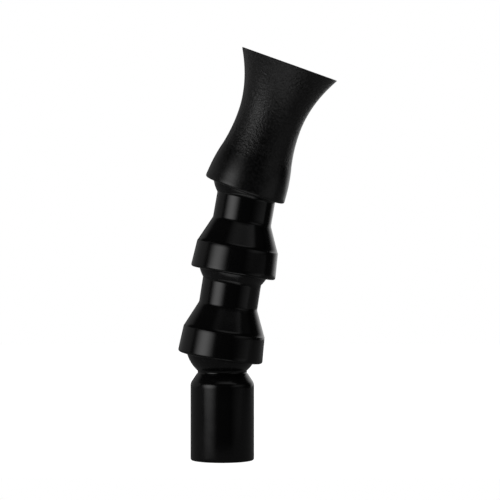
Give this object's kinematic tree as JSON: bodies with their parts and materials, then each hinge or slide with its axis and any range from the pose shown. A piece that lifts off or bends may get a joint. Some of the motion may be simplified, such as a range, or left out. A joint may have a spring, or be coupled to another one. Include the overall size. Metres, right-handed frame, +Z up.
{
  "type": "grunt tube call",
  "caption": "Black game call: a cylindrical mouth barrel holding a reed cartridge, ball-and-socket links that bend, and a round flared bell.",
  "frame": {"origin": "centre of the mouth end's flat face, on the barrel's axis", "axes": "+Z up the barrel's axis towards the bell, +X the way the tube is bent in the stored pose, -Y the side the reed faces"},
  "size_m": [0.0624, 0.0424, 0.1622],
  "materials": {
    "satin_plastic": "smooth satin black, as moulded",
    "textured_plastic": "black with a fine spark-textured grain",
    "holder_plastic": "smooth dark smoke, as moulded",
    "reed_film": "clear polyester film, slightly yellow",
    "wedge_cork": "fine cork and rubber compound",
    "seal_rubber": "matte black rubber"
  },
  "bodies": {
    "barrel": {"mouth_barrel": "satin_plastic"},
    "cartridge": {"reed_holder": "holder_plastic", "reed_wedge": "wedge_cork", "front_seal_ring": "seal_rubber", "rear_seal_ring": "seal_rubber"},
    "reed": {"reed": "reed_film"},
    "tuner": {"tuning_ring": "seal_rubber"},
    "lower_link": {"lower_link": "satin_plastic"},
    "upper_link": {"upper_link": "satin_plastic"},
    "bell": {"bell": "textured_plastic"}
  },
  "joints": [
    {"name": "lower_bend", "type": "hinge", "parent": "barrel", "child": "lower_link", "pos_m": [0, 0, 0.04595], "axis": [0.1669, 0.986, 0], "range_deg": [-35, 16.5]},
    {"name": "upper_bend", "type": "hinge", "parent": "lower_link", "child": "upper_link", "pos_m": [0.0052, -0.00088, 0.07913], "axis": [0.004, 0.9997, 0.0259], "range_deg": [-16.5, 14]},
    {"name": "bell_bend", "type": "hinge", "parent": "upper_link", "child": "bell", "pos_m": [0.01097, -0.00147, 0.11223], "axis": [0.4024, 0.9139, -0.054], "range_deg": [-22.5, 1.2]},
    {"name": "cartridge_slide", "type": "slide", "parent": "barrel", "child": "cartridge", "axis": [0, 0, -1], "range_m": [0, 0.048]},
    {"name": "tuner_slide", "type": "slide", "parent": "cartridge", "child": "tuner", "axis": [0, 0, 1], "range_m": [-0.007, 0.0025]},
    {"name": "reed_flex", "type": "hinge", "parent": "cartridge", "child": "reed", "pos_m": [0, -0.00162, 0.033], "axis": [1, 0, 0], "range_deg": [-1, 1], "stiffness_Nm_per_rad": 0.001}
  ]
}
